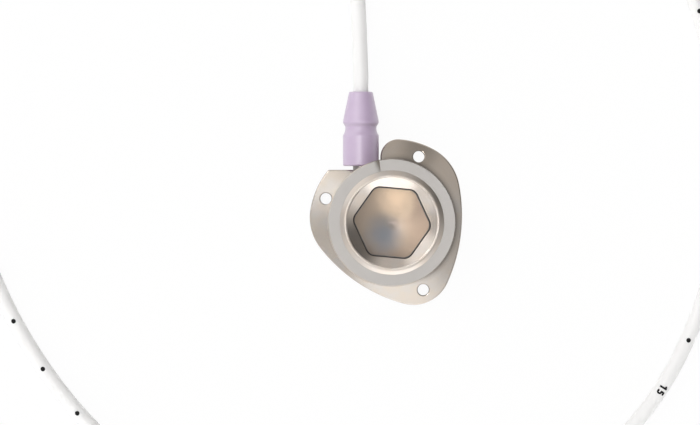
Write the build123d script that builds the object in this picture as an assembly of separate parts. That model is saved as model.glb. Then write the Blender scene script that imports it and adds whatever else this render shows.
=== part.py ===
from build123d import *
from math import atan2, cos, degrees, pi, radians, sin, sqrt, tan
from typing import NamedTuple
import os

# Implantable access port with its catheter locked on.
# A turned titanium body with a milled, three-lobed suture flange holds a clear silicone septum
# under a pressed-in collar. A barbed stem takes the catheter, and a plastic sleeve locks the two.
# Millimetres, +Z up, origin on the septum's axis at the flat base, +Y along the outlet stem.

# Reservoir, with a shallow conical floor
reservoir_radius = 7.05
floor_thickness = 1.3
floor_slope = 11.0
floor_corner_round = 0.6

# Septum in its seat, and the collar that clamps it
septum_seat_width = 1.35
septum_thickness = 2.6
septum_dome = 0.2
septum_edge_round = 0.3
septum_drop = 0.35
collar_seat_width = 0.85
collar_depth = 2.2
crest_height = 0.6
crest_width = 0.35
crest_round = 0.45
crest_slope = 36.0
funnel_slope = 40.0
window_lip = 0.82
window_corner_round = 1.8
window_turn = -5.2

# Turned body
wall = 0.95
rim_overhang = 1.15
rim_thickness = 1.6
rim_edge_round = 0.2
flare_radius = 1.1
brim_edge_height = 0.95
brim_slope = 12.0

# Suture flange: three lobes that stand out from under the rim, and the arcs that join them
upper_lobe_radius = 9.05
upper_lobe_brim = 3.763
upper_lobe_angle = 58.15
upper_side_slack = 1.125
upper_hole_angle = 76.0
upper_hole_edge = 2.23
left_lobe_radius = 8.85
left_lobe_brim = 3.369
left_lobe_angle = 171.18
left_side_slack = 13.926
left_hole_angle = 150.4
left_hole_edge = 2.01
lower_lobe_radius = 6.7
lower_lobe_brim = 4.295
lower_lobe_angle = -64.15
lower_side_slack = 14.816
lower_hole_angle = -66.2
lower_hole_edge = 2.36
suture_hole_diameter = 2.0

# Outlet stem, pressed into the body beside the axis
stem_inset = 1.55
stem_cover = 0.45
stem_radius = 1.43
stem_seat_depth = 3.1
stem_bore_radius = 0.6
stem_neck_radius = 0.92
stem_edge_round = 0.12
barb_radius = 1.1
barb_length = 1.5
barb_neck = 0.9
barb_count = 2
nose_radius = 0.75

# Connector sleeve that locks the catheter on the stem
sleeve_radius = 3.2
sleeve_length = 13.23
sleeve_lift = 0.32
sleeve_gap = 0.66
sleeve_overlap = 0.7
sleeve_body_length = 5.4
sleeve_cove_length = 0.9
sleeve_waist_depth = 0.42
sleeve_waist_length = 0.7
sleeve_ridge_slope_length = 0.7
sleeve_ridge_length = 0.25
sleeve_tip_wall = 0.735
sleeve_edge_round = 0.3
sleeve_cove_round = 2.0
sleeve_shoulder_round = 0.35
sleeve_crease_round = 0.3
sleeve_ridge_round = 0.35

# Catheter, 8 French
catheter_diameter = 2.67
lumen_diameter = 1.6
catheter_lead = 4.68

# Notch milled into flange and wall for the sleeve
notch_bite = 0.77
notch_side_gap = 0.27
notch_roof_gap = 0.3
notch_wing_round = 3.2
notch_heel_round = 0.45
notch_cutter_radius = 1.0
relief_radius = 3.2
relief_turn = 26.0
relief_step_turn = 8.0
relief_width = 1.0

# Fits and edges
press_clearance = 0.01
seal_clearance = 0.01
grip_clearance = 0.03
flange_edge_round = 0.25
base_edge_round = 0.2
suture_edge_round = 0.15
touching = 0.001
stock_margin = 1.0
bend_share = 0.45

# Heights and places that follow from the sizes above
septum_radius = reservoir_radius + septum_seat_width
collar_radius = septum_radius + collar_seat_width
body_radius = collar_radius + wall
rim_radius = body_radius + rim_overhang
flange_reach = rim_radius + max(upper_lobe_brim, left_lobe_brim, lower_lobe_brim)
blank_radius = flange_reach + stock_margin
stem_offset = reservoir_radius - stem_inset
stem_height = sleeve_radius + sleeve_lift
septum_seat_height = stem_height + stem_radius + stem_cover
collar_seat = septum_seat_height + septum_thickness
rim_top = collar_seat + collar_depth
crest_top = rim_top + crest_height
crest_outer_radius = collar_radius - crest_height / tan(radians(crest_slope))
funnel_radius = crest_outer_radius - crest_width
window_apothem = reservoir_radius - window_lip
notch_face = body_radius - notch_bite
notch_side = sleeve_radius + notch_side_gap - stem_offset
notch_roof = stem_height + sleeve_radius + notch_roof_gap
sleeve_start = notch_face + sleeve_gap
sleeve_end = sleeve_start + sleeve_length
stem_shoulder = sleeve_start + sleeve_overlap
stem_seat = notch_face - stem_seat_depth
catheter_radius = catheter_diameter / 2
lying_height = catheter_radius
outlet = Plane(origin=(-stem_offset, 0, stem_height), x_dir=(1, 0, 0), z_dir=(0, 1, 0))


class Lobe(NamedTuple):
    """One lobe of the flange, its suture hole, and how slack the arc to the next lobe is."""

    radius: float
    brim: float
    angle: float
    side_slack: float
    hole_angle: float
    hole_edge: float

    def centre(self):
        """Centre of the lobe, which stands out from under the rim by its brim."""
        reach = rim_radius + self.brim - self.radius
        return Vector(reach * cos(radians(self.angle)), reach * sin(radians(self.angle)))

    def hole(self):
        """Centre of the suture hole, set in from the lobe's edge."""
        reach = self.radius - self.hole_edge
        angle = radians(self.hole_angle)
        return self.centre() + Vector(reach * cos(angle), reach * sin(angle))


# Counterclockwise from the upper right
lobes = [
    Lobe(upper_lobe_radius, upper_lobe_brim, upper_lobe_angle, upper_side_slack, upper_hole_angle,
         upper_hole_edge),
    Lobe(left_lobe_radius, left_lobe_brim, left_lobe_angle, left_side_slack, left_hole_angle,
         left_hole_edge),
    Lobe(lower_lobe_radius, lower_lobe_brim, lower_lobe_angle, lower_side_slack, lower_hole_angle,
         lower_hole_edge),
]

# The catheter's route: out of the sleeve, down to the table, and once round the port in a wide loop
route = [
    (-stem_offset, stem_shoulder, stem_height),
    (-stem_offset, sleeve_end + catheter_lead, stem_height),
    (-6.3, 46.6, 2.7),
    (-12.7, 63.5, 1.7),
    (-25.0, 75.0, lying_height),
    (-41.1, 78.7, lying_height),
    (-57.6, 73.2, lying_height),
    (-70.8, 58.5, lying_height),
    (-78.2, 36.0, lying_height),
    (-77.9, 8.6, lying_height),
    (-67.5, -20.0, lying_height),
    (-48.0, -43.9, lying_height),
    (-18.2, -57.7, lying_height),
    (16.2, -56.2, lying_height),
    (44.1, -38.5, lying_height),
    (58.4, -10.3, lying_height),
    (59.6, 19.5, lying_height),
    (53.1, 45.4, lying_height),
    (38.7, 65.1, lying_height),
    (17.0, 76.8, lying_height),
    (-7.1, 79.2, lying_height),
]


def turned(corners):
    """Revolves a profile about Z. Each corner is a radius, a height and the rounding of that corner."""
    face = make_face(Polyline(*[(radius, height) for radius, height, _ in corners], close=True))
    for radius, height, rounding in corners:
        if rounding > 0:
            corner = face.vertices().sort_by_distance((radius, height, 0))[0]
            face = fillet(corner, rounding)
    return revolve(Plane.XZ * face, Axis.Z)


def brim_height(radius):
    """Height of the flange's sloping top at a distance from the axis."""
    return brim_edge_height + (flange_reach - radius) * tan(radians(brim_slope))


def side_arc(lobe, following):
    """Centre and radius of the arc that joins two lobes from outside, on the port's side of them."""
    across = following.centre() - lobe.centre()
    radius = (across.length + lobe.radius + following.radius) / 2 + lobe.side_slack
    reach = radius - lobe.radius
    reach_following = radius - following.radius
    along = (reach**2 - reach_following**2 + across.length**2) / (2 * across.length)
    aside = sqrt(reach**2 - along**2)
    direction = across.normalized()
    sideways = Vector(-direction.Y, direction.X)
    return lobe.centre() + direction * along + sideways * aside, radius


def arc_between(centre, radius, start, end):
    """Counterclockwise arc about a centre, from the direction of one point to that of another."""
    start_angle = degrees(atan2(start.Y - centre.Y, start.X - centre.X))
    end_angle = degrees(atan2(end.Y - centre.Y, end.X - centre.X))
    return CenterArc(centre, radius, start_angle, (end_angle - start_angle) % 360)


def flange_outline():
    """The flange seen from above, with the notch for the sleeve cut out of it."""
    edges = []
    for index, lobe in enumerate(lobes):
        following = lobes[(index + 1) % len(lobes)]
        centre = lobe.centre()
        before, _ = side_arc(lobes[index - 1], lobe)
        after, after_radius = side_arc(lobe, following)
        edges.append(arc_between(centre, lobe.radius, 2 * centre - before, 2 * centre - after))
        edges.append(arc_between(after, after_radius, centre, following.centre()))
    corner_block = Rectangle(blank_radius, blank_radius, align=(Align.MAX, Align.MIN))
    face = make_face(edges) - Pos(notch_side, notch_face) * corner_block
    inner_corner = face.vertices().sort_by_distance((notch_side, notch_face))[0]
    face = fillet(inner_corner, notch_cutter_radius)
    wing_corner = face.vertices().sort_by_distance((notch_side, blank_radius))[0]
    face = fillet(wing_corner, notch_wing_round)
    heel_corner = face.vertices().sort_by_distance((-blank_radius, notch_face))[0]
    return fillet(heel_corner, notch_heel_round)


def along_outlet(radius, start, end):
    """Cylinder on the outlet's axis between two distances from the port's axis."""
    rod = Cylinder(radius, end - start, align=(Align.CENTER, Align.CENTER, Align.MIN))
    return outlet * Pos(0, 0, start) * rod


def window_prism(shrink, height):
    """Prism of the collar's rounded hexagonal window, standing on z = 0."""
    window = RegularPolygon(window_apothem - shrink, 6, major_radius=False, rotation=window_turn)
    window = fillet(window.vertices(), window_corner_round)
    return extrude(window, height)


def upright(edge):
    """True for an edge that runs along Z."""
    return edge.length - abs((edge @ 1 - edge @ 0).Z) < touching


def in_plan(edge):
    """The middle of an edge, seen from above."""
    middle = edge @ 0.5
    return Vertex(middle.X, middle.Y, 0)


def round_flange(body, outline):
    """Takes the sharpness off the base, the flange's upper edge and the suture holes."""
    base_edges = body.edges().filter_by(
        lambda edge: (edge @ 0).Z < touching and (edge @ 0.5).Z < touching
    )
    body = fillet(base_edges, base_edge_round)
    border = outline.faces()[0].outer_wire()
    stem_underside = stem_height - stem_radius
    body = fillet(
        body.edges().filter_by(
            lambda edge: border.distance_to(in_plan(edge)) < touching
            and flange_edge_round < (edge @ 0.5).Z < stem_underside
            and not upright(edge)
        ),
        flange_edge_round,
    )
    for lobe in lobes:
        hole = Vertex(*lobe.hole())
        body = fillet(
            body.edges().filter_by(
                lambda edge: abs(hole.distance_to(in_plan(edge)) - suture_hole_diameter / 2) < touching
                and (edge @ 0.5).Z > brim_edge_height / 2
                and not upright(edge)
            ),
            suture_edge_round,
        )
    return body


def make_relief():
    """Cutter that rolls the rim off towards a low step beside the notch."""
    depth = 2 * relief_radius
    stock = Box(blank_radius, 2 * blank_radius, depth, align=(Align.MIN, Align.CENTER, Align.MIN))
    roll = stock - Rot(X=90) * Cylinder(relief_radius, 2 * blank_radius)
    roll = Pos(notch_side - relief_width, notch_face, rim_top - relief_radius) * Rot(Z=relief_turn) * roll
    left = Box(blank_radius, 2 * blank_radius, 2 * crest_top, align=(Align.MAX, Align.CENTER, Align.CENTER))
    return roll & Pos(notch_side, notch_face, rim_top) * Rot(Z=relief_step_turn) * left


def make_body():
    """Turned blank, milled to the flange's outline, with its seats, outlet and suture holes."""
    undercut = rim_top - rim_thickness - (rim_radius - body_radius)
    blank = turned([
        (0, 0, 0),
        (blank_radius, 0, 0),
        (blank_radius, brim_height(blank_radius), 0),
        (body_radius, brim_height(body_radius), flare_radius),
        (body_radius, undercut, 0),
        (rim_radius, rim_top - rim_thickness, rim_edge_round),
        (rim_radius, rim_top, rim_edge_round),
        (0, rim_top, 0),
    ])
    outline = flange_outline()
    stock = Rectangle(4 * blank_radius, 4 * blank_radius)
    body = blank - extrude(stock - outline, notch_roof)

    floor_edge = floor_thickness + reservoir_radius * tan(radians(floor_slope))
    above = crest_top
    body -= turned([
        (0, floor_thickness, 0),
        (reservoir_radius, floor_edge, floor_corner_round),
        (reservoir_radius, septum_seat_height, 0),
        (septum_radius, septum_seat_height, 0),
        (septum_radius, collar_seat, 0),
        (collar_radius, collar_seat, 0),
        (collar_radius, above, 0),
        (0, above, 0),
    ])
    body -= along_outlet(stem_radius, stem_seat, rim_radius)
    body -= along_outlet(stem_bore_radius, 0, stem_seat)
    body -= make_relief()
    for lobe in lobes:
        body -= Pos(lobe.hole()) * Cylinder(suture_hole_diameter / 2, 2 * rim_top)
    return round_flange(body, outline)


def make_collar():
    """Ring with the crest, the funnel and the window."""
    radius = collar_radius - press_clearance
    funnel_depth = crest_top - collar_seat
    funnel_foot = funnel_radius - funnel_depth / tan(radians(funnel_slope))
    ring = turned([
        (funnel_foot, collar_seat, 0),
        (radius, collar_seat, 0),
        (radius, rim_top, 0),
        (crest_outer_radius, crest_top, crest_round),
        (funnel_radius, crest_top, crest_round),
    ])
    return ring - Pos(0, 0, collar_seat) * window_prism(0, crest_top)


def make_septum():
    """Disc in its seat with a plug that fills the window from below, gently domed."""
    radius = septum_radius - seal_clearance
    disc = Pos(0, 0, septum_seat_height) * Cylinder(
        radius, septum_thickness, align=(Align.CENTER, Align.CENTER, Align.MIN)
    )
    funnel_low = crest_top - (funnel_radius - window_apothem) * tan(radians(funnel_slope))
    plug_edge = funnel_low - septum_drop
    plug = Pos(0, 0, collar_seat) * window_prism(seal_clearance, crest_top)
    dome_radius = (window_apothem**2 + septum_dome**2) / (2 * septum_dome)
    plug &= Pos(0, 0, plug_edge + septum_dome - dome_radius) * Sphere(dome_radius)
    border = plug.edges().filter_by(
        lambda edge: (edge @ 0.5).Z > collar_seat + touching and not upright(edge)
    )
    return disc + fillet(border, septum_edge_round)


def make_stem_blank():
    """Outside of the stem: the pressed-in shank, then the barbs that the catheter is pushed over."""
    corners = [
        (0, stem_seat, 0),
        (stem_radius - press_clearance, stem_seat, 0),
        (stem_radius - press_clearance, stem_shoulder, stem_edge_round),
        (stem_neck_radius, stem_shoulder, 0),
    ]
    place = stem_shoulder + barb_neck
    for barb in range(barb_count):
        last = barb == barb_count - 1
        corners.append((stem_neck_radius, place, 0))
        corners.append((barb_radius, place, 0))
        corners.append((nose_radius if last else stem_neck_radius, place + barb_length, 0))
        place += barb_length + barb_neck
    corners.append((0, corners[-1][1], 0))
    return outlet * turned(corners)


def make_sleeve():
    """Lavender lock: a cylinder, a waist with a cove, and a cone towards the catheter."""
    cove_start = sleeve_start + sleeve_body_length
    cove_end = cove_start + sleeve_cove_length
    ridge_foot = cove_end + sleeve_waist_length
    ridge_start = ridge_foot + sleeve_ridge_slope_length
    ridge_end = ridge_start + sleeve_ridge_length
    waist = sleeve_radius - sleeve_waist_depth
    bore = catheter_radius + grip_clearance
    mouth = max(stem_radius, catheter_radius) + grip_clearance
    mouth_end = stem_shoulder + grip_clearance
    return outlet * turned([
        (mouth, sleeve_start, 0),
        (sleeve_radius, sleeve_start, sleeve_edge_round),
        (sleeve_radius, cove_start, sleeve_shoulder_round),
        (waist, cove_end, sleeve_cove_round),
        (waist, ridge_foot, sleeve_crease_round),
        (sleeve_radius, ridge_start, sleeve_ridge_round),
        (sleeve_radius, ridge_end, sleeve_ridge_round),
        (bore + sleeve_tip_wall, sleeve_end, sleeve_edge_round),
        (bore, sleeve_end, 0),
        (bore, mouth_end, 0),
        (mouth, mouth_end, 0),
    ])


def route_radii(points):
    """Largest arc that the two runs at each point allow."""
    radii = []
    for before, here, after in zip(points, points[1:], points[2:]):
        run_in = Vector(*here) - Vector(*before)
        run_out = Vector(*after) - Vector(*here)
        half_turn = radians(run_in.get_angle(run_out)) / 2
        radii.append(bend_share * min(run_in.length, run_out.length) / tan(half_turn))
    return radii


def make_catheter(stem_blank):
    """Tube with its lumen along the route, its end stretched over the stem's barbs."""
    radii = route_radii(route)
    path = FilletPolyline(*route, radius=radii)
    section = Circle(catheter_radius) - Circle(lumen_diameter / 2)
    tube = sweep(outlet * Pos(0, 0, stem_shoulder) * section, path=path)
    area = pi * (catheter_diameter**2 - lumen_diameter**2) / 4
    print("route radii", [round(radius, 1) for radius in radii])
    print("route length", round(path.length, 2))
    print("tube volume", round(tube.volume, 2), "section times length", round(area * path.length, 2))
    return tube - stem_blank


stem_blank = make_stem_blank()
parts = {
    "port_body": make_body(),
    "septum_collar": make_collar(),
    "septum": make_septum(),
    "outlet_stem": stem_blank - along_outlet(stem_bore_radius, stem_seat, sleeve_end),
    "connector_sleeve": make_sleeve(),
    "catheter": make_catheter(stem_blank),
}

os.makedirs("parts", exist_ok=True)
for name, part in parts.items():
    part.label = name
    export_step(part, f"parts/{name}.step")
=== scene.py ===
"""Looks of an implantable access port and its catheter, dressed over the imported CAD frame.

Everything is in metres in the CAD frame: +Z up from the flat base, +Y along the outlet stem.
"""

import logging
import math
from dataclasses import dataclass
from enum import Enum
from typing import Optional, Union

import bmesh
import bpy
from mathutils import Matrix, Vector


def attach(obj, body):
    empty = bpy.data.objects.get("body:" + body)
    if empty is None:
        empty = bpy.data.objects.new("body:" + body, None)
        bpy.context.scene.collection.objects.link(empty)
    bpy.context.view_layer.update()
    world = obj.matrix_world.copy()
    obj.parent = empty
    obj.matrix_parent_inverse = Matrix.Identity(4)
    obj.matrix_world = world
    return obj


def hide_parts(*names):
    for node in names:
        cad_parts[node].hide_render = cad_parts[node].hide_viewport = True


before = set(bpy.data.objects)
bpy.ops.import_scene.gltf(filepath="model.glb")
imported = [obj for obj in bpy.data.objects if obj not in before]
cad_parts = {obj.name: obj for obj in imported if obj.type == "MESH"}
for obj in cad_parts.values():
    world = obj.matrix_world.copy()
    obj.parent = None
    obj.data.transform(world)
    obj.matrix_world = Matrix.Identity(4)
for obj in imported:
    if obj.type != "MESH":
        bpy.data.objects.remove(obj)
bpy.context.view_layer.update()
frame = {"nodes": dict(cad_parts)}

log = logging.getLogger("port")
MM = 0.001
WHITE = (1.0, 1.0, 1.0)
Colour = tuple[float, float, float]
Point = tuple[float, float, float]
Place = tuple[float, float]
# Where a smooth step starts, at 0, and where it ends, at 1.
Span = tuple[float, float]
# A socket's name or number.
Key = Union[str, int]
# A number, a colour or vector, or a link.
Value = Union[float, tuple, "Sock"]


class Node(Enum):
    """The CAD nodes that this scene dresses or stands in for."""

    BODY = "port_body"
    COLLAR = "septum_collar"
    SEPTUM = "septum"
    STEM = "outlet_stem"
    SLEEVE = "connector_sleeve"
    CATHETER = "catheter"


class Blend(Enum):
    """The ways in which a Mix node joins two colours."""

    MIX = "MIX"
    ADD = "ADD"
    SUBTRACT = "SUBTRACT"


class Sock:
    """An output socket of a shader graph. Operators on it add Math nodes."""

    def __init__(self, graph: "ShaderGraph", socket: bpy.types.NodeSocket) -> None:
        """Keeps the graph and the socket."""
        self.graph = graph
        self.socket = socket

    def _math(self, operation: str, first: Value, second: Value) -> "Sock":
        """Adds one Math node for two values."""
        return self.graph.node("ShaderNodeMath", {"operation": operation}, {0: first, 1: second})

    def __add__(self, other: Value) -> "Sock":
        """Sum of two values."""
        return self._math("ADD", self, other)

    def __radd__(self, other: Value) -> "Sock":
        """Sum with a number on the left."""
        return self._math("ADD", other, self)

    def __sub__(self, other: Value) -> "Sock":
        """Difference of two values."""
        return self._math("SUBTRACT", self, other)

    def __rsub__(self, other: Value) -> "Sock":
        """Difference from a number on the left."""
        return self._math("SUBTRACT", other, self)

    def __mul__(self, other: Value) -> "Sock":
        """Product of two values."""
        return self._math("MULTIPLY", self, other)

    def __rmul__(self, other: Value) -> "Sock":
        """Product with a number on the left."""
        return self._math("MULTIPLY", other, self)

    def at_least(self, other: Value) -> "Sock":
        """The larger of two values."""
        return self._math("MAXIMUM", self, other)

    def at_most(self, other: Value) -> "Sock":
        """The smaller of two values."""
        return self._math("MINIMUM", self, other)

    def size(self) -> "Sock":
        """The value without its sign."""
        return self._math("ABSOLUTE", self, 0.0)

    def sine(self) -> "Sock":
        """Sine of an angle in radians."""
        return self._math("SINE", self, 0.0)

    def step(self, low: float, high: float) -> "Sock":
        """Smooth step of the value.

        Args:
            low: Where the step starts, at 0.
            high: Where the step ends, at 1. It may be the lower number, which turns the step round.

        Returns:
            A value from 0 to 1.
        """
        return self.graph.node(
            "ShaderNodeMapRange",
            {"interpolation_type": "SMOOTHSTEP"},
            {"Value": self, "From Min": low, "From Max": high, "To Min": 0.0, "To Max": 1.0},
        )

    def swing(self) -> "Sock":
        """How far a noise lies from its mean, from -0.5 to 0.5."""
        return self - 0.5

    def sibling(self, output: Key) -> "Sock":
        """Another output of the same node."""
        return Sock(self.graph, self.socket.node.outputs[output])


class ShaderGraph:
    """The nodes of one material or world."""

    def __init__(self, tree: bpy.types.NodeTree) -> None:
        """Takes a node tree and empties it."""
        self.tree = tree
        tree.nodes.clear()

    def add(self, kind: str, settings: dict[str, object], inputs: dict[Key, Value]) -> bpy.types.Node:
        """Adds one node. Every node of the graph comes from here.

        Args:
            kind: Blender's name of the node's type.
            settings: The node's own settings, set before its sockets.
            inputs: Values or links of its sockets, by name or number.

        Returns:
            The node.
        """
        made = self.tree.nodes.new(kind)
        for name, value in settings.items():
            setattr(made, name, value)
        for key, value in inputs.items():
            if isinstance(value, Sock):
                self.tree.links.new(value.socket, made.inputs[key])
            elif isinstance(value, tuple) and made.inputs[key].type == "RGBA":
                made.inputs[key].default_value = (*value, 1.0)
            else:
                made.inputs[key].default_value = value
        return made

    def node(
        self,
        kind: str,
        settings: Optional[dict[str, object]] = None,
        inputs: Optional[dict[Key, Value]] = None,
        output: Key = 0,
    ) -> Sock:
        """Adds one node for one of its outputs.

        Args:
            kind: Blender's name of the node's type.
            settings: The node's own settings.
            inputs: Values or links of its sockets, by name or number.
            output: The output to hand back, by name or number.

        Returns:
            That output.
        """
        made = self.add(kind, settings or {}, inputs or {})
        return Sock(self, made.outputs[output])

    def place(self) -> Sock:
        """Position in the CAD frame, in metres."""
        return self.node("ShaderNodeTexCoord", output="Object")

    def parts(self, vector: Sock) -> tuple[Sock, Sock, Sock]:
        """The three components of a vector."""
        first = self.node("ShaderNodeSeparateXYZ", inputs={"Vector": vector})
        return first, first.sibling("Y"), first.sibling("Z")

    def distance(self, first: Sock, second: Sock) -> Sock:
        """Length of two components, such as the distance from an axis."""
        flat = self.node("ShaderNodeCombineXYZ", inputs={"X": first, "Y": second})
        return self.node("ShaderNodeVectorMath", {"operation": "LENGTH"}, {0: flat}, "Value")

    def away(self, x: Sock, y: Sock, middle: Place) -> Sock:
        """Distance from a place, seen from above."""
        return self.distance(x - middle[0], y - middle[1])

    def along(self, x: Sock, y: Sock, slant: Place) -> Sock:
        """How far a place lies along a slanted direction."""
        return slant[0] * x + slant[1] * y

    def turned(self, radius: Sock, pitch: float) -> Sock:
        """Height of turning lines round the axis, from 0 to 1."""
        return (radius * (math.tau / pitch)).sine() * 0.5 + 0.5

    def noise(self, place: Sock, scale: float, detail: float = 3.0, roughness: float = 0.55) -> Sock:
        """Noise about a place.

        Args:
            place: The position that the noise is read at.
            scale: Grains per metre.
            detail: Octaves.
            roughness: Share of the finer octaves.

        Returns:
            A value from 0 to 1, around 0.5.
        """
        inputs = {"Vector": place, "Scale": scale, "Detail": detail, "Roughness": roughness}
        return self.node("ShaderNodeTexNoise", inputs=inputs)

    def blend(self, factor: Value, first: Value, second: Value, way: Blend = Blend.MIX) -> Sock:
        """Mix of two colours.

        Args:
            factor: 0 for the first, 1 for the second.
            first: First colour.
            second: Second colour.
            way: How the second joins the first.

        Returns:
            The mixed colour.
        """
        settings = {"data_type": "RGBA", "blend_type": way.value}
        # A Mix node has its colours at inputs 6 and 7 and at output 2.
        return self.node("ShaderNodeMix", settings, {0: factor, 6: first, 7: second}, 2)

    def bump(self, height: Sock, depth: float, strength: float) -> Sock:
        """Normal of a height.

        Args:
            height: Height from 0 to 1.
            depth: What a height of 1 stands for, in metres.
            strength: Share of the bump, from 0 to 1.

        Returns:
            The normal for a shader.
        """
        inputs = {"Strength": strength, "Distance": depth, "Height": height}
        return self.node("ShaderNodeBump", inputs=inputs)

    def surface(self, shader: Sock, kind: str = "ShaderNodeOutputMaterial") -> None:
        """Ends the graph in an output node."""
        self.add(kind, {}, {"Surface": shader})

    def principled(self, inputs: dict[Key, Value]) -> None:
        """Ends the graph in one Principled shader with these inputs."""
        self.surface(self.node("ShaderNodeBsdfPrincipled", inputs=inputs))


@dataclass(frozen=True)
class Finish:
    """A material with a name and a main colour, which each kind of finish paints in its own way."""

    name: str
    colour: Colour

    def toned(self, shares: Colour) -> Colour:
        """The main colour with a share of each channel."""
        red, green, blue = self.colour
        return (red * shares[0], green * shares[1], blue * shares[2])

    def paint(self, graph: ShaderGraph) -> None:
        """Fills the graph."""
        raise NotImplementedError

    def build(self) -> bpy.types.Material:
        """Makes the material.

        Returns:
            The finished material.
        """
        material = bpy.data.materials.new(self.name)
        material.use_nodes = True
        material.diffuse_color = (*self.colour, 1.0)
        self.paint(ShaderGraph(material.node_tree))
        return material


@dataclass(frozen=True)
class FloorPatch:
    """A patch of painted light and shade on the reservoir's floor, strongest in its middle.

    Ragged is how far noise moves its edge in and out, and share is its strength.
    """

    tint: Colour
    middle: Place
    reach: Span
    ragged: float
    share: float


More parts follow.
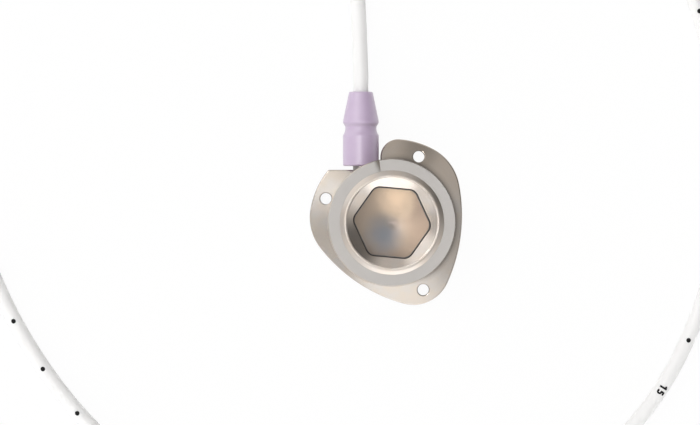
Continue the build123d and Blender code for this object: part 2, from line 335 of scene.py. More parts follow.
@dataclass(frozen=True)
class SatinTitanium(Finish):
    """Turned and milled titanium: a blasted flat rim, a bright flange and a turned floor. The floor
    carries painted reflections and painted shade, and painted shade lies at the wall's foot, round the
    suture holes and on the milled step.
    """

    wander_scale: float = 420.0
    grain_scale: float = 5200.0
    smear_scale: float = 130.0
    turning_pitch: float = 0.16 * MM
    warm_shares: Colour = (1.03, 0.99, 0.94)
    warm_spread: Span = (0.35, 0.65)
    rim_height: Span = (9.65 * MM, 9.75 * MM)
    rim_flatness: Span = (0.945, 0.99)
    blasted: Colour = (0.487, 0.468, 0.451)
    # Darker, warmer tone over the upper-right wing.
    tarnish: Colour = (0.5, 0.425, 0.355)
    tarnish_slant: Place = (0.45, 0.9)
    tarnish_reach: Span = (7.0 * MM, 12.0 * MM)
    tarnish_side: Span = (-4.0 * MM, -2.5 * MM)
    tarnish_share: float = 0.7
    floor_reach: Span = (7.12 * MM, 7.02 * MM)
    floor_height: Span = (3.3 * MM, 3.1 * MM)
    warm_floor: Colour = (0.56, 0.423, 0.303)
    # Painted shade on the floor's right and front, and painted bright and dark reflections and a
    # painted apex shade in the patches below.
    brown_floor: Colour = (0.375, 0.27, 0.193)
    brown_right: Span = (0.0, 5.0 * MM)
    brown_front: Span = (-2.5 * MM, -6.5 * MM)
    straw: FloorPatch = FloorPatch(
        tint=(1.0, 0.74, 0.505),
        middle=(0.9 * MM, 4.4 * MM),
        reach=(4.9 * MM, 0.3 * MM),
        ragged=2.0 * MM,
        share=1.0,
    )
    cool: FloorPatch = FloorPatch(
        tint=(0.316, 0.321, 0.344),
        middle=(-1.5 * MM, -2.3 * MM),
        reach=(5.0 * MM, 0.2 * MM),
        ragged=2.0 * MM,
        share=1.0,
    )
    apex: FloorPatch = FloorPatch(
        tint=(0.25, 0.195, 0.165),
        middle=(0.4 * MM, -0.3 * MM),
        reach=(1.5 * MM, 0.1 * MM),
        ragged=0.0,
        share=0.85,
    )
    # Painted shade at the wall's foot, under the rim's edge, round the suture holes and on the milled
    # step.
    dirt: Colour = (0.2, 0.18, 0.16)
    foot_reach: Span = (12.6 * MM, 11.3 * MM)
    foot_slant: Place = (0.95, 0.3)
    foot_side: Span = (-1.0 * MM, 6.0 * MM)
    foot_share: float = 0.5
    contact_reach: Span = (11.9 * MM, 11.5 * MM)
    contact_share: float = 0.35
    holes: tuple[Place, ...] = (
        (4.849 * MM, 11.768 * MM),
        (-11.747 * MM, 4.279 * MM),
        (5.652 * MM, -12.021 * MM),
    )
    hole_reach: Span = (1.22 * MM, 1.0 * MM)
    hole_share: float = 0.75
    # Painted shade on the milled step over the outlet.
    step_place: Place = (-2.4 * MM, 10.2 * MM)
    step_reach: Span = (2.6 * MM, 1.2 * MM)
    step_tilt: Span = (0.998, 0.96)
    step_share: float = 0.55
    bright_roughness: float = 0.17
    rim_roughness: float = 0.44
    floor_roughness: float = 0.18
    smear_roughness: float = 0.06
    grain_roughness: float = 0.05
    rim_lines: float = 0.12
    floor_lines: float = 0.1
    rim_grain: float = 0.25
    bright_grain: float = 0.04
    smear_waves: float = 8.0
    floor_waves: float = 6.0
    bump_depth: float = 0.006 * MM
    bump_strength: float = 0.5

    def floor_tint(self, graph: ShaderGraph, x: Sock, y: Sock, wander: Sock) -> Sock:
        """Colour of the turned floor under the septum, with painted reflections and painted shade.

        Args:
            graph: The graph to add to.
            x: Place along X.
            y: Place along Y.
            wander: Slow noise that makes the patches ragged.

        Returns:
            The colour, with its painted shade and its painted bright and dark reflections.
        """
        # Painted shade towards the floor's right and front, then painted bright and dark reflections
        # and a painted shade over the apex highlight.
        floor_shaded = x.step(*self.brown_right).at_least(y.step(*self.brown_front))
        tint = graph.blend(floor_shaded, self.warm_floor, self.brown_floor)
        for patch in (self.straw, self.cool, self.apex):
            away = graph.away(x, y, patch.middle) + patch.ragged * wander.swing()
            tint = graph.blend(patch.share * away.step(*patch.reach), tint, patch.tint)
        return tint

    def grime(self, graph: ShaderGraph, x: Sock, y: Sock, bare: Sock) -> Sock:
        """Share of painted shade at the wall's foot, under the rim's edge and round the suture holes'
        edges.

        Args:
            graph: The graph to add to.
            x: Place along X.
            y: Place along Y.
            bare: Mask of what is neither rim nor floor.

        Returns:
            A value from 0 to 1.
        """
        radius = graph.distance(x, y)
        shaded = graph.along(x, y, self.foot_slant).step(*self.foot_side)
        depth = self.foot_share + self.contact_share * radius.step(*self.contact_reach)
        share = radius.step(*self.foot_reach) * bare * shaded * depth
        for hole in self.holes:
            edge = graph.away(x, y, hole).step(*self.hole_reach)
            share = share.at_least(self.hole_share * edge)
        return share

    def paint(self, graph: ShaderGraph) -> None:
        """Fills the graph.

        Args:
            graph: The material's graph.
        """
        place = graph.place()
        x, y, z = graph.parts(place)
        radius = graph.distance(x, y)
        _, _, upward = graph.parts(graph.node("ShaderNodeNewGeometry", output="Normal"))
        high = z.step(*self.rim_height)
        rim = high * upward.step(*self.rim_flatness)
        floor = radius.step(*self.floor_reach) * z.step(*self.floor_height)
        wander = graph.noise(place, self.wander_scale)
        grain = graph.noise(place, self.grain_scale, detail=2.0)
        smear = graph.noise(place, self.smear_scale, detail=2.0)
        colour = graph.blend(wander.step(*self.warm_spread), self.colour, self.toned(self.warm_shares))
        # Darker, warmer tone over the upper-right wing.
        wing_toned = graph.along(x, y, self.tarnish_slant).step(*self.tarnish_reach)
        wing_toned = wing_toned * x.step(*self.tarnish_side)
        colour = graph.blend(self.tarnish_share * wing_toned, colour, self.tarnish)
        colour = graph.blend(rim, colour, self.blasted)
        # Floor under the septum, with painted reflections and painted shade.
        colour = graph.blend(floor, colour, self.floor_tint(graph, x, y, wander))
        bare = (1.0 - rim) * (1.0 - floor)
        # Painted shade at the wall's foot, under the rim's edge and round the suture holes.
        colour = graph.blend(self.grime(graph, x, y, bare), colour, self.dirt)
        # Painted shade on the milled step over the outlet, where the rim tilts down.
        step_shaded = high * upward.step(*self.step_tilt)
        step_shaded = step_shaded * graph.away(x, y, self.step_place).step(*self.step_reach)
        colour = graph.blend(self.step_share * step_shaded, colour, self.dirt)
        roughness = self.bright_roughness + self.rim_roughness * high + self.floor_roughness * floor
        roughness = roughness + self.smear_roughness * smear.swing()
        roughness = roughness + self.grain_roughness * grain.swing() * rim
        turned = graph.turned(radius, self.turning_pitch)
        lines = turned * (self.rim_lines * rim + self.floor_lines * floor)
        lines = lines + grain * (self.rim_grain * rim + self.bright_grain)
        lines = lines + self.smear_waves * smear * (1.0 - rim) + self.floor_waves * floor * wander
        normal = graph.bump(lines, self.bump_depth, self.bump_strength)
        graph.principled(
            {"Base Color": colour, "Metallic": 1.0, "Roughness": roughness, "Normal": normal}
        )


@dataclass(frozen=True)
class PolishedTitanium(Finish):
    """Lathe-polished titanium with fine turning lines."""

    wander_scale: float = 380.0
    streak_scale: float = 9000.0
    streak_spread: Span = (0.35, 0.7)
    turning_pitch: float = 0.21 * MM
    warm_shares: Colour = (1.02, 0.985, 0.94)
    warm_spread: Span = (0.3, 0.7)
    slope_reach: Span = (7.92 * MM, 8.42 * MM)
    crest_inside: Span = (7.95 * MM, 8.1 * MM)
    crest_outside: Span = (8.75 * MM, 8.5 * MM)
    bright_roughness: float = 0.13
    streak_roughness: float = 0.1
    wander_roughness: float = 0.04
    slope_roughness: float = 0.16
    crest_roughness: float = 0.2
    turned_height: float = 0.4
    streak_height: float = 0.6
    bump_depth: float = 0.004 * MM
    bump_strength: float = 0.45

    def paint(self, graph: ShaderGraph) -> None:
        """Fills the graph.

        Args:
            graph: The material's graph.
        """
        place = graph.place()
        x, y, _ = graph.parts(place)
        radius = graph.distance(x, y)
        streak = graph.node(
            "ShaderNodeTexNoise", {"noise_dimensions": "1D"}, {"W": radius, "Scale": self.streak_scale}
        )
        wander = graph.noise(place, self.wander_scale)
        colour = graph.blend(wander.step(*self.warm_spread), self.colour, self.toned(self.warm_shares))
        crest = radius.step(*self.crest_inside) * radius.step(*self.crest_outside)
        roughness = self.bright_roughness + self.streak_roughness * streak.step(*self.streak_spread)
        roughness = roughness + self.wander_roughness * wander.swing()
        roughness = roughness + self.slope_roughness * radius.step(*self.slope_reach)
        roughness = roughness + self.crest_roughness * crest
        turned = graph.turned(radius, self.turning_pitch)
        lines = turned * self.turned_height + streak * self.streak_height
        normal = graph.bump(lines, self.bump_depth, self.bump_strength)
        graph.principled(
            {"Base Color": colour, "Metallic": 1.0, "Roughness": roughness, "Normal": normal}
        )


@dataclass(frozen=True)
class ClearSilicone(Finish):
    """Clear silicone rubber, seen through down to the floor, with a painted shade line where it meets
    metal.

    The painted shade line follows the collar's hexagonal window, whose turn is in degrees.
    """

    cloud_scale: float = 260.0
    cloud_spread: Span = (0.3, 0.7)
    dust_scale: float = 1500.0
    milk: Colour = (0.6, 0.6, 0.6)
    dark_line: Colour = (0.042, 0.033, 0.029)
    apothem: float = 6.23 * MM
    turn: float = -5.2
    corner: float = 1.8 * MM
    line_width: float = 0.33 * MM
    line_fade: float = 0.4
    line_share: float = 0.75
    clearness: float = 0.92
    cloud_share: float = 0.05
    haze: float = 0.75
    smooth_roughness: float = 0.4
    dust_roughness: float = 0.12
    refraction: float = 1.41
    cloud_height: float = 0.7
    dust_height: float = 0.3
    bump_depth: float = 0.02 * MM
    bump_strength: float = 0.25

    def from_core(self, graph: ShaderGraph, x: Sock, y: Sock) -> Sock:
        """Distance from the window's hexagon without its corner rounding.

        Args:
            graph: The graph to add to.
            x: Place along X.
            y: Place along Y.

        Returns:
            The distance, which is the corner rounding all along the window's edge.
        """
        core = self.apothem - self.corner
        turn = math.radians(self.turn)
        half_side = math.pi / 6.0
        along = graph.along(x, y, (math.cos(turn), math.sin(turn))).size()
        across = graph.along(x, y, (-math.sin(turn), math.cos(turn))).size()
        fold = (math.sin(half_side) * across - math.cos(half_side) * along).at_most(0.0)
        side = (along + 2.0 * math.cos(half_side) * fold).size()
        past_side = (side - core * math.tan(half_side)).at_least(0.0)
        past_face = (across - fold - core).at_least(0.0)
        return graph.distance(past_side, past_face)

    def paint(self, graph: ShaderGraph) -> None:
        """Fills the graph.

        Args:
            graph: The material's graph.
        """
        place = graph.place()
        x, y, _ = graph.parts(place)
        reach = self.from_core(graph, x, y)
        # Painted shade in the gap where the silicone meets the collar's window.
        line = reach.step(self.corner - self.line_width, self.corner - self.line_fade * self.line_width)
        cloud = graph.noise(place, self.cloud_scale, detail=4.0)
        dust = graph.noise(place, self.dust_scale, detail=2.0)
        pale = graph.blend(cloud.step(*self.cloud_spread), self.colour, self.milk)
        slant = graph.node("ShaderNodeLayerWeight", inputs={"Blend": 0.5}, output="Facing")
        alpha = (1.0 - self.clearness) + self.cloud_share * cloud.swing()
        alpha = alpha + self.line_share * line + self.haze * slant
        height = cloud * self.cloud_height + dust * self.dust_height
        graph.principled(
            {
                "Base Color": graph.blend(line, pale, self.dark_line),
                "Roughness": self.smooth_roughness + self.dust_roughness * dust,
                "IOR": self.refraction,
                "Alpha": alpha,
                "Normal": graph.bump(height, self.bump_depth, self.bump_strength),
            }
        )


@dataclass(frozen=True)
class MouldedPlastic(Finish):
    """Satin moulded plastic, a little cloudy, with the fine grain of its mould and painted shade in the
    crease under its ridge.
    """

    cloud_scale: float = 300.0
    cloud_spread: Span = (0.3, 0.75)
    cloud_share: float = 0.35
    grain_scale: float = 4200.0
    shade: Colour = (0.46, 0.345, 0.505)
    # Painted shade along the crease under the sleeve's ridge.
    crease_shade: Colour = (0.4, 0.31, 0.42)
    crease_place: float = 17.42 * MM
    crease_width: float = 0.5 * MM
    crease_share: float = 0.6
    roughness: float = 0.44
    grain_roughness: float = 0.1
    cloud_roughness: float = 0.06
    refraction: float = 1.6
    skin_roughness: float = 0.42
    skin_refraction: float = 1.8
    bump_depth: float = 0.006 * MM
    bump_strength: float = 0.35

    def paint(self, graph: ShaderGraph) -> None:
        """Fills the graph.

        Args:
            graph: The material's graph.
        """
        place = graph.place()
        _, along, _ = graph.parts(place)
        cloud = graph.noise(place, self.cloud_scale)
        grain = graph.noise(place, self.grain_scale, detail=2.0)
        colour = graph.blend(self.cloud_share * cloud.step(*self.cloud_spread), self.colour, self.shade)
        # Painted shade in the crease under the sleeve's ridge.
        crease = (along - self.crease_place).size().step(self.crease_width, 0.0)
        colour = graph.blend(self.crease_share * crease, colour, self.crease_shade)
        roughness = self.roughness + self.grain_roughness * grain.swing()
        roughness = roughness + self.cloud_roughness * cloud.swing()
        graph.principled(
            {
                "Base Color": colour,
                "Roughness": roughness,
                "IOR": self.refraction,
                "Coat Weight": 1.0,
                "Coat Roughness": self.skin_roughness,
                "Coat IOR": self.skin_refraction,
                "Normal": graph.bump(grain, self.bump_depth, self.bump_strength),
            }
        )


@dataclass(frozen=True)
class WhiteSilicone(Finish):
    """Smooth white silicone tube with faint clouds, which light soaks into a little."""

    cloud_scale: float = 160.0
    cloud_spread: Span = (0.35, 0.75)
    cloud_share: float = 0.5
    grain_scale: float = 3600.0
    shade: Colour = (0.835, 0.833, 0.827)
    roughness: float = 0.42
    grain_roughness: float = 0.12
    refraction: float = 1.41
    glow_share: float = 0.5
    glow_depth: float = 0.7 * MM
    bump_depth: float = 0.005 * MM
    bump_strength: float = 0.3

    def paint(self, graph: ShaderGraph) -> None:
        """Fills the graph.

        Args:
            graph: The material's graph.
        """
        place = graph.place()
        cloud = graph.noise(place, self.cloud_scale)
        grain = graph.noise(place, self.grain_scale, detail=2.0)
        colour = graph.blend(self.cloud_share * cloud.step(*self.cloud_spread), self.colour, self.shade)
        graph.principled(
            {
                "Base Color": colour,
                "Roughness": self.roughness + self.grain_roughness * grain.swing(),
                "IOR": self.refraction,
                "Subsurface Weight": self.glow_share,
                "Subsurface Radius": (1.0, 1.0, 1.0),
                "Subsurface Scale": self.glow_depth,
                "Normal": graph.bump(grain, self.bump_depth, self.bump_strength),
            }
        )


@dataclass(frozen=True)
class PrintInk(Finish):
    """Black pad-printed ink, thinner in places."""

    patch_scale: float = 2600.0
    patch_spread: Span = (0.45, 0.8)
    thin: Colour = (0.012, 0.012, 0.013)
    roughness: float = 0.55
    patch_roughness: float = 0.2
    gloss: float = 0.2

    def paint(self, graph: ShaderGraph) -> None:
        """Fills the graph.

        Args:
            graph: The material's graph.
        """
        patch = graph.noise(graph.place(), self.patch_scale, detail=2.0)
        graph.principled(
            {
                "Base Color": graph.blend(patch.step(*self.patch_spread), self.colour, self.thin),
                "Roughness": self.roughness + self.patch_roughness * patch.swing(),
                "Specular IOR Level": self.gloss,
            }
        )


@dataclass(frozen=True)
class StudioFloor(Finish):
    """White sweep that shows white to the camera and to metal, and still takes a soft shadow."""

    shown: float = 0.94

    def paint(self, graph: ShaderGraph) -> None:
        """Fills the graph.

        Args:
            graph: The material's graph.
        """
        rays = graph.node("ShaderNodeLightPath", output="Is Camera Ray")
        seen = rays.at_least(rays.sibling("Is Glossy Ray"))
        seen = seen.at_least(rays.sibling("Is Transmission Ray"))
        paper = graph.node("ShaderNodeBsdfDiffuse", inputs={"Color": self.colour})
        white = graph.node("ShaderNodeEmission", inputs={"Color": WHITE, "Strength": 1.0})
        shader = graph.node("ShaderNodeMixShader", inputs={0: self.shown * seen, 1: paper, 2: white})
        graph.surface(shader)


def dress(thing: bpy.types.Object, finish: Finish) -> None:
    """Gives an object one finish in place of any other.

    Args:
        thing: The object to dress.
        finish: The finish.
    """
    thing.data.materials.clear()
    thing.data.materials.append(finish.build())
    log.info("%s dressed as %s", thing.name, finish.name)


def piece_from(name: str, shape: bmesh.types.BMesh) -> bpy.types.Object:
    """Turns a shape into a smooth shaded object of the scene.

    Args:
        name: Name of the object and its mesh.
        shape: The shape, which is freed.

    Returns:
        The object.
    """
    bmesh.ops.recalc_face_normals(shape, faces=shape.faces)
    mesh = bpy.data.meshes.new(name)
    shape.to_mesh(mesh)
    shape.free()
    mesh.polygons.foreach_set("use_smooth", [True] * len(mesh.polygons))
    made = bpy.data.objects.new(name, mesh)
    bpy.context.scene.collection.objects.link(made)
    return made


@dataclass
class PortHousing:
    """The titanium housing with its collar, stem and septum, all of them CAD nodes."""

    titanium: Colour = (0.556, 0.518, 0.48)
    polished: Colour = (0.58, 0.532, 0.491)
    # Darker titanium for the stem: painted shade from the sleeve and the rim above it.
    dull: Colour = (0.28, 0.262, 0.253)
    silicone: Colour = (0.5, 0.55, 0.62)

    def dress(self, nodes: dict[str, bpy.types.Object]) -> None:
        """Gives each node its finish.

        Args:
            nodes: The CAD nodes by name.
        """
        dress(nodes[Node.BODY.value], SatinTitanium("satin_titanium_turned", self.titanium))
        dress(nodes[Node.COLLAR.value], PolishedTitanium("polished_titanium_turned", self.polished))
        # The stem's darker titanium is painted shade from the sleeve and the rim above it.
        dress(nodes[Node.STEM.value], PolishedTitanium("painted_shade_titanium_turned", self.dull))
        dress(nodes[Node.SEPTUM.value], ClearSilicone("clear_silicone_septum", self.silicone))


@dataclass
class ConnectorSleeve:
    """The lavender sleeve that locks the catheter on the stem."""

    lavender: Colour = (0.525, 0.41, 0.575)

    def dress(self, nodes: dict[str, bpy.types.Object]) -> None:
        """Gives the sleeve its finish.

        Args:
            nodes: The CAD nodes by name.
        """
        dress(nodes[Node.SLEEVE.value], MouldedPlastic("lavender_plastic_moulded", self.lavender))


@dataclass(frozen=True)
class Station:
    """A place on the catheter's line: its centre and the two directions across the tube."""

    centre: Vector
    aside: Vector
    up: Vector

    def on_wall(self, radius: float, angle: float) -> Vector:
        """Point on the tube's wall, at an angle from the top towards the outer side."""
        return self.centre + radius * (math.cos(angle) * self.up + math.sin(angle) * self.aside)

    def moved(self, way: Vector) -> "Station":
        """The same station further along."""
        return Station(self.centre + way, self.aside, self.up)


@dataclass(frozen=True)
class DepthDigits:
    """Bold plain digits, one unit high, drawn with a broad pen."""

    pen: float = 0.235
    width: float = 0.62
    advance: float = 0.7
    step: float = 0.08
    bow_steps: int = 14

    def bow(self, centre: Place, reach: Place, start: float, end: float) -> list[Place]:
        """Round stretch of a digit.

        Args:
            centre: Centre of the ellipse.
            reach: Its half width and half height.
            start: First angle in degrees.
            end: Last angle in degrees.

        Returns:
            Places along it.
        """
        places = []
        for index in range(self.bow_steps + 1):
            angle = math.radians(start + (end - start) * index / self.bow_steps)
            aside, up = reach[0] * math.cos(angle), reach[1] * math.sin(angle)
            places.append((centre[0] + aside, centre[1] + up))
        return places

    def strokes(self, digit: str) -> list[list[Place]]:
        """The pen's ways for one digit from 0 to 5.

        Args:
            digit: The digit.

        Returns:
            The ways, each a list of places.
        """
        ways = {
            "0": [self.bow((0.31, 0.5), (0.2, 0.39), 90.0, 450.0)],
            "1": [[(0.38, 0.0), (0.38, 1.0)], [(0.1, 0.7), (0.3, 0.86)]],
            "2": [self.bow((0.3, 0.68), (0.2, 0.21), 165.0, -35.0) + [(0.14, 0.11), (0.54, 0.11)]],
            "3": [
                self.bow((0.28, 0.7), (0.2, 0.19), 150.0, -70.0),
                self.bow((0.28, 0.3), (0.22, 0.19), 70.0, -150.0),
            ],
            "4": [[(0.42, 0.0), (0.42, 1.0)], [(0.3, 0.92), (0.1, 0.42)], [(0.0, 0.31), (0.58, 0.31)]],
            "5": [[(0.54, 0.89), (0.2, 0.89)] + self.bow((0.29, 0.33), (0.21, 0.22), 118.0, -145.0)],
        }
        return ways[digit]

    def ribbon(self, way: list[Place]) -> list[tuple[Vector, Vector]]:
        """Both edges of a pen's stroke, in short steps.

        Args:
            way: The middle of the stroke.

        Returns:
            Pairs of points on the left and the right edge.
        """
        middle = [Vector(way[0])]
        for place in way[1:]:
            before, after = middle[-1].copy(), Vector(place)
            count = max(1, math.ceil((after - before).length / self.step))
            middle += [before.lerp(after, index / count) for index in range(1, count + 1)]
        edges = []
        last = len(middle) - 1
        for index, point in enumerate(middle):
            along = (middle[min(index + 1, last)] - middle[max(index - 1, 0)]).normalized()
            aside = Vector((-along.y, along.x)) * (0.5 * self.pen)
            edges.append((point + aside, point - aside))
        return edges


@dataclass
class Catheter:
    """The white silicone tube with its depth marks, on one smooth line round the port.

    The route and the sleeve's end are in millimetres. Angles are in radians from the tube's top.
    """

    radius: float = 1.335 * MM
    lumen_radius: float = 0.8 * MM
    tip_round: float = 0.12 * MM
    tip_bevel: float = 0.035 * MM
    lumen_bevel: float = 0.04 * MM
    facets: int = 32
    line_order: int = 3
    line_steps: int = 24
    sleeve_end: float = 23.32
    dot_radius: float = 0.42 * MM
    dot_sides: int = 20
    dot_rings: tuple[float, float] = (0.5, 1.0)
    dot_angle: float = 0.12
    digits: DepthDigits = DepthDigits()
    digit_height: float = 1.5 * MM
    digit_angle: float = 0.16
    print_lift: float = 0.012 * MM
    mark_spacing: float = 10.0 * MM
    first_mark: int = 1
    last_mark: int = 45
    number_every: int = 5
    slot: str = "white_silicone"
    white: Colour = (0.86, 0.858, 0.853)
    ink: Colour = (0.004, 0.004, 0.0045)
    route: tuple[Point, ...] = (
        (-5.5, 10.79, 3.52),
        (-5.5, 23.32, 3.52),
        (-5.5, 28.0, 3.52),
        (-6.3, 46.6, 2.7),
        (-12.7, 63.5, 1.7),
        (-25.0, 75.0, 1.335),
        (-41.1, 78.7, 1.335),
        (-57.6, 73.2, 1.335),
        (-70.8, 58.5, 1.335),
        (-78.2, 36.0, 1.335),
        (-77.9, 8.6, 1.335),
        (-67.5, -20.0, 1.335),
        (-48.0, -43.9, 1.335),
        (-18.2, -57.7, 1.335),
        (16.2, -56.2, 1.335),
        (44.1, -38.5, 1.335),
        (58.4, -10.3, 1.335),
        (59.6, 19.5, 1.335),
        (53.1, 45.4, 1.335),
        (38.7, 65.1, 1.335),
        (17.0, 76.8, 1.335),
        (-7.1, 79.2, 1.335),
    )

    def line(self) -> list[Vector]:
        """Points read from the route's smooth spline.

        Returns:
            The points, from the stem to the free tip.
        """
        curve = bpy.data.curves.new("catheter_line", "CURVE")
        curve.dimensions = "3D"
        spline = curve.splines.new("NURBS")
        spline.points.add(len(self.route) - 1)
        for point, place in zip(spline.points, self.route):
            point.co = (place[0] * MM, place[1] * MM, place[2] * MM, 1.0)
        spline.order_u = self.line_order
        spline.use_endpoint_u = True
        spline.resolution_u = self.line_steps
        holder = bpy.data.objects.new("catheter_line", curve)
        mesh = bpy.data.meshes.new_from_object(holder)
        points = [vertex.co.copy() for vertex in mesh.vertices]
        bpy.data.objects.remove(holder)
        bpy.data.meshes.remove(mesh)
        bpy.data.curves.remove(curve)
        return points

    def station(self, before: Vector, after: Vector, centre: Vector) -> Station:
        """Directions across the tube at a point.

        Args:
            before: A point before it on the line.
            after: A point after it on the line.
            centre: The point itself.

        Returns:
            The station, whose aside points away from the port's side of the loop.
        """
        along = (after - before).normalized()
        aside = Vector((0.0, 0.0, 1.0)).cross(along).normalized() * -1.0
        return Station(centre, aside, along.cross(aside) * -1.0)

    def stations(self, points: list[Vector]) -> list[Station]:
        """A station at each point of the line.

        Args:
            points: The line.

        Returns:
            The stations in the same order.
        """
        last = len(points) - 1
        return [
            self.station(points[max(index - 1, 0)], points[min(index + 1, last)], point)
            for index, point in enumerate(points)
        ]

    def tube(self, points: list[Vector]) -> bpy.types.Object:
        """Tube with its lumen and a softly cut tip.

        Args:
            points: The line that it follows.

        Returns:
            The tube.
        """
        shape = bmesh.new()
        stations = self.stations(points)
        tip = stations[-1]
        back = (points[-2] - points[-1]).normalized()
        outline = [(station, self.radius) for station in stations[:-1]]
        outline.append((tip.moved(back * self.tip_round), self.radius))
        outline.append((tip.moved(back * self.tip_bevel), self.radius - self.tip_bevel))
        outline.append((tip, self.radius - self.tip_round))
        outline.append((tip, self.lumen_radius + self.lumen_bevel))
        outline.append((tip.moved(back * self.lumen_bevel), self.lumen_radius))
        outline += [(station, self.lumen_radius) for station in reversed(stations[:-1])]
        angles = [math.tau * index / self.facets for index in range(self.facets)]
        rings = []
        for station, radius in outline:
            rings.append([shape.verts.new(station.on_wall(radius, angle)) for angle in angles])
        rings.append(rings[0])
        for one, other in zip(rings, rings[1:]):
            for index in range(self.facets):
                following = (index + 1) % self.facets
                shape.faces.new((one[index], one[following], other[following], other[index]))
        made = piece_from("catheter_tube", shape)
        dress(made, WhiteSilicone("white_silicone_tube", self.white))
        return made

    def place_on(self, points: list[Vector], reach: float) -> Station:
        """Station at a distance from the free tip.

        Args:
            points: The line from the stem to the tip.
            reach: Distance along the line from the tip.

        Returns:
            The station there.
        """
        left = reach
        for index in range(len(points) - 1, 0, -1):
            run = (points[index - 1] - points[index]).length
            if run >= left:
                centre = points[index].lerp(points[index - 1], left / run)
                return self.station(points[index - 1], points[index], centre)
            left -= run
        raise ValueError("the mark lies beyond the catheter")

    def printed(self, points: list[Vector], reach: float, angle: float, aside: Vector) -> Vector:
        """Point of a print wrapped on the wall.

        Args:
            points: The catheter's line.
            reach: Distance of the print's middle from the free tip.
            angle: Angle of the print's middle from the top, towards the outer side.
            aside: Place on the flat print, along the tube and round it.

        Returns:
            The point, just above the wall.
        """
        wall = self.radius + self.print_lift
        return self.place_on(points, reach + aside.x).on_wall(wall, angle + aside.y / wall)

    def dot(self, shape: bmesh.types.BMesh, points: list[Vector], reach: float) -> None:
        """Adds one printed dot.

        Args:
            shape: The marks' shape.
            points: The catheter's line.
            reach: Distance from the free tip.
        """
        rings = []
        for share in self.dot_rings:
            ring = []
            for index in range(self.dot_sides):
                turn = math.tau * index / self.dot_sides
                aside = Vector((math.cos(turn), math.sin(turn))) * (share * self.dot_radius)
                ring.append(shape.verts.new(self.printed(points, reach, self.dot_angle, aside)))
            rings.append(ring)
        inner, outer = rings
        shape.faces.new(inner)
        for index in range(self.dot_sides):
            following = (index + 1) % self.dot_sides
            shape.faces.new((inner[index], outer[index], outer[following], inner[following]))

    def number(self, shape: bmesh.types.BMesh, points: list[Vector], reach: float, words: str) -> None:
        """Adds one printed number, wrapped on the wall.

        Args:
            shape: The marks' shape.
            points: The catheter's line.
            reach: Distance from the free tip.
            words: The digits.
        """
        pen = self.digits
        start = -0.5 * (pen.advance * (len(words) - 1) + pen.width)
        for index, digit in enumerate(words):
            corner = Vector((start + pen.advance * index, -0.5))
            for way in pen.strokes(digit):
                edges = []
                for pair in pen.ribbon(way):
                    edge = []
                    for place in pair:
                        aside = (place + corner) * self.digit_height
                        point = self.printed(points, reach, self.digit_angle, aside)
                        edge.append(shape.verts.new(point))
                    edges.append(edge)
                for one, other in zip(edges, edges[1:]):
                    shape.faces.new((one[0], one[1], other[1], other[0]))

    def marks(self, points: list[Vector]) -> bpy.types.Object:
        """Depth marks in centimetres from the free tip: dots, and a number at every fifth.

        Args:
            points: The catheter's line.

        Returns:
            The marks as one thin print.
        """
        shape = bmesh.new()
        for mark in range(self.first_mark, self.last_mark + 1):
            reach = mark * self.mark_spacing
            if mark % self.number_every == 0:
                self.number(shape, points, reach, str(mark))
            else:
                self.dot(shape, points, reach)
        made = piece_from("depth_marks", shape)
        dress(made, PrintInk("black_print", self.ink))
        return made

    def build(self) -> None:
        """Makes the tube and its marks, hangs them on the root body and hides the CAD catheter."""
        points = self.line()
        tube = self.tube(points)
        marks = self.marks(points)
        for made in (tube, marks):
            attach(made, "root")
        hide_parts(Node.CATHETER.value)


@dataclass(frozen=True)
class Glow:
    """A soft bright or dark patch of the studio round the object.

    Angles are in degrees. Inner and outer are the reach of its even core and of its edge.
    """

    azimuth: float
    elevation: float
    inner: float
    outer: float
    strength: float

    def direction(self) -> Point:
        """Unit vector towards the patch."""
        turn, rise = math.radians(self.azimuth), math.radians(self.elevation)
        return (math.cos(turn) * math.cos(rise), math.sin(turn) * math.cos(rise), math.sin(rise))

    def spread(self) -> Span:
        """Cosines of the patch's edge and of its even core."""
        return math.cos(math.radians(self.outer)), math.cos(math.radians(self.inner))

    def shine(self, graph: ShaderGraph, towards: Sock, colour: Value) -> Sock:
        """Adds the patch to the studio's light, or takes it off.

        Args:
            graph: The world's graph.
            towards: Direction in which the world is seen.
            colour: The light so far.

        Returns:
            The light with the patch.
        """
        inputs = {0: towards, 1: self.direction()}
        facing = graph.node("ShaderNodeVectorMath", {"operation": "DOT_PRODUCT"}, inputs, "Value")
        way = Blend.ADD if self.strength > 0.0 else Blend.SUBTRACT
        return graph.blend(facing.step(*self.spread()), colour, (abs(self.strength),) * 3, way)


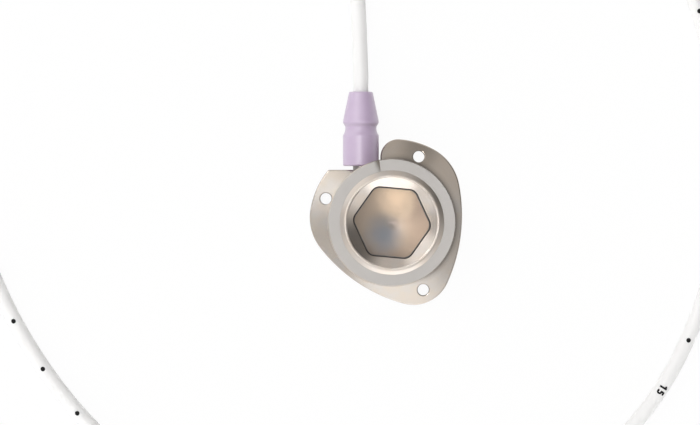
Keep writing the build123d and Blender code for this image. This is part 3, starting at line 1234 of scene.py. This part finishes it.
@dataclass
class Studio:
    """White sweep, soft light from all round, one large lamp and the camera straight above.

    The sensor, the lamp's size and the places of lamp and camera are in millimetres.
    """

    image_width: float = 700.0
    focal_pixels: float = 5025.0
    sensor: float = 36.0
    nearest: float = 0.01
    farthest: float = 20.0
    camera_place: Point = (-7.44, 1.789, 900.0)
    floor_reach: float = 3.0
    floor_drop: float = 0.02 * MM
    paper: Colour = (0.92, 0.92, 0.92)
    ambient: Colour = (0.72, 0.715, 0.71)
    glows: tuple[Glow, ...] = (
        Glow(azimuth=-88.0, elevation=10.0, inner=14.0, outer=41.0, strength=1.37),
        Glow(azimuth=-86.0, elevation=67.0, inner=4.0, outer=19.0, strength=0.75),
        Glow(azimuth=150.0, elevation=66.0, inner=3.0, outer=10.0, strength=0.34),
        Glow(azimuth=172.0, elevation=80.0, inner=4.0, outer=8.0, strength=15.0),
        Glow(azimuth=184.0, elevation=65.0, inner=3.0, outer=9.0, strength=-0.18),
        Glow(azimuth=-4.0, elevation=66.0, inner=3.0, outer=11.0, strength=-0.16),
        Glow(azimuth=24.0, elevation=42.0, inner=12.0, outer=22.0, strength=-0.54),
        Glow(azimuth=-26.0, elevation=42.0, inner=12.0, outer=22.0, strength=-0.54),
        Glow(azimuth=136.0, elevation=14.0, inner=12.0, outer=34.0, strength=0.61),
        Glow(azimuth=222.0, elevation=8.0, inner=10.0, outer=34.0, strength=0.43),
        Glow(azimuth=-45.0, elevation=12.0, inner=8.0, outer=30.0, strength=0.43),
        Glow(azimuth=30.0, elevation=-2.0, inner=16.0, outer=50.0, strength=-0.54),
        Glow(azimuth=68.0, elevation=65.0, inner=3.0, outer=7.0, strength=-0.4),
        Glow(azimuth=100.0, elevation=66.0, inner=2.0, outer=4.0, strength=-0.18),
    )
    lamp_place: Point = (-531.0, 345.0, 774.0)
    lamp_size: float = 340.0
    lamp_power: float = 1.15
    lamp_colour: Colour = (1.0, 0.985, 0.96)

    def floor(self) -> None:
        """Lays the sweep under the object."""
        shape = bmesh.new()
        reach = self.floor_reach
        corners = [(-reach, -reach), (reach, -reach), (reach, reach), (-reach, reach)]
        shape.faces.new([shape.verts.new((x, y, -self.floor_drop)) for x, y in corners])
        made = piece_from("studio_floor", shape)
        dress(made, StudioFloor("studio_white", self.paper))

    def world(self) -> None:
        """Surrounds the object with soft light, brighter and darker by direction."""
        world = bpy.data.worlds.new("studio")
        world.use_nodes = True
        bpy.context.scene.world = world
        graph = ShaderGraph(world.node_tree)
        towards = graph.node("ShaderNodeTexCoord", output="Generated")
        colour: Value = self.ambient
        for glow in self.glows:
            colour = glow.shine(graph, towards, colour)
        rays = graph.node("ShaderNodeLightPath", output="Is Camera Ray")
        light = graph.node("ShaderNodeBackground", inputs={"Color": colour, "Strength": 1.0})
        white = graph.node("ShaderNodeBackground", inputs={"Color": WHITE, "Strength": 1.0})
        shader = graph.node("ShaderNodeMixShader", inputs={0: rays, 1: light, 2: white})
        graph.surface(shader, "ShaderNodeOutputWorld")

    def lamp(self) -> None:
        """Hangs one large soft lamp to the upper left."""
        data = bpy.data.lights.new("key_lamp", "AREA")
        data.shape = "DISK"
        data.size = self.lamp_size * MM
        data.energy = self.lamp_power
        data.color = self.lamp_colour
        made = bpy.data.objects.new("key_lamp", data)
        made.location = Vector(self.lamp_place) * MM
        made.rotation_euler = (-made.location).to_track_quat("-Z", "Y").to_euler()
        bpy.context.scene.collection.objects.link(made)

    def camera(self) -> None:
        """Sets the camera straight above, with the photograph's frame."""
        data = bpy.data.cameras.new("camera")
        data.sensor_fit = "HORIZONTAL"
        data.sensor_width = self.sensor
        data.lens = self.focal_pixels / self.image_width * self.sensor
        data.clip_start = self.nearest
        data.clip_end = self.farthest
        made = bpy.data.objects.new("camera", data)
        made.location = Vector(self.camera_place) * MM
        bpy.context.scene.collection.objects.link(made)
        bpy.context.scene.camera = made

    def build(self) -> None:
        """Makes the floor, the light and the camera."""
        self.floor()
        self.world()
        self.lamp()
        self.camera()
        bpy.context.scene.view_settings.view_transform = "Standard"
        log.info("studio ready")


def main() -> None:
    """Builds the studio and the object, piece by piece."""
    logging.basicConfig(level=logging.INFO, format="%(message)s")
    Studio().build()
    Catheter().build()
    ConnectorSleeve().dress(frame["nodes"])
    PortHousing().dress(frame["nodes"])


if __name__ == "__main__":
    main()
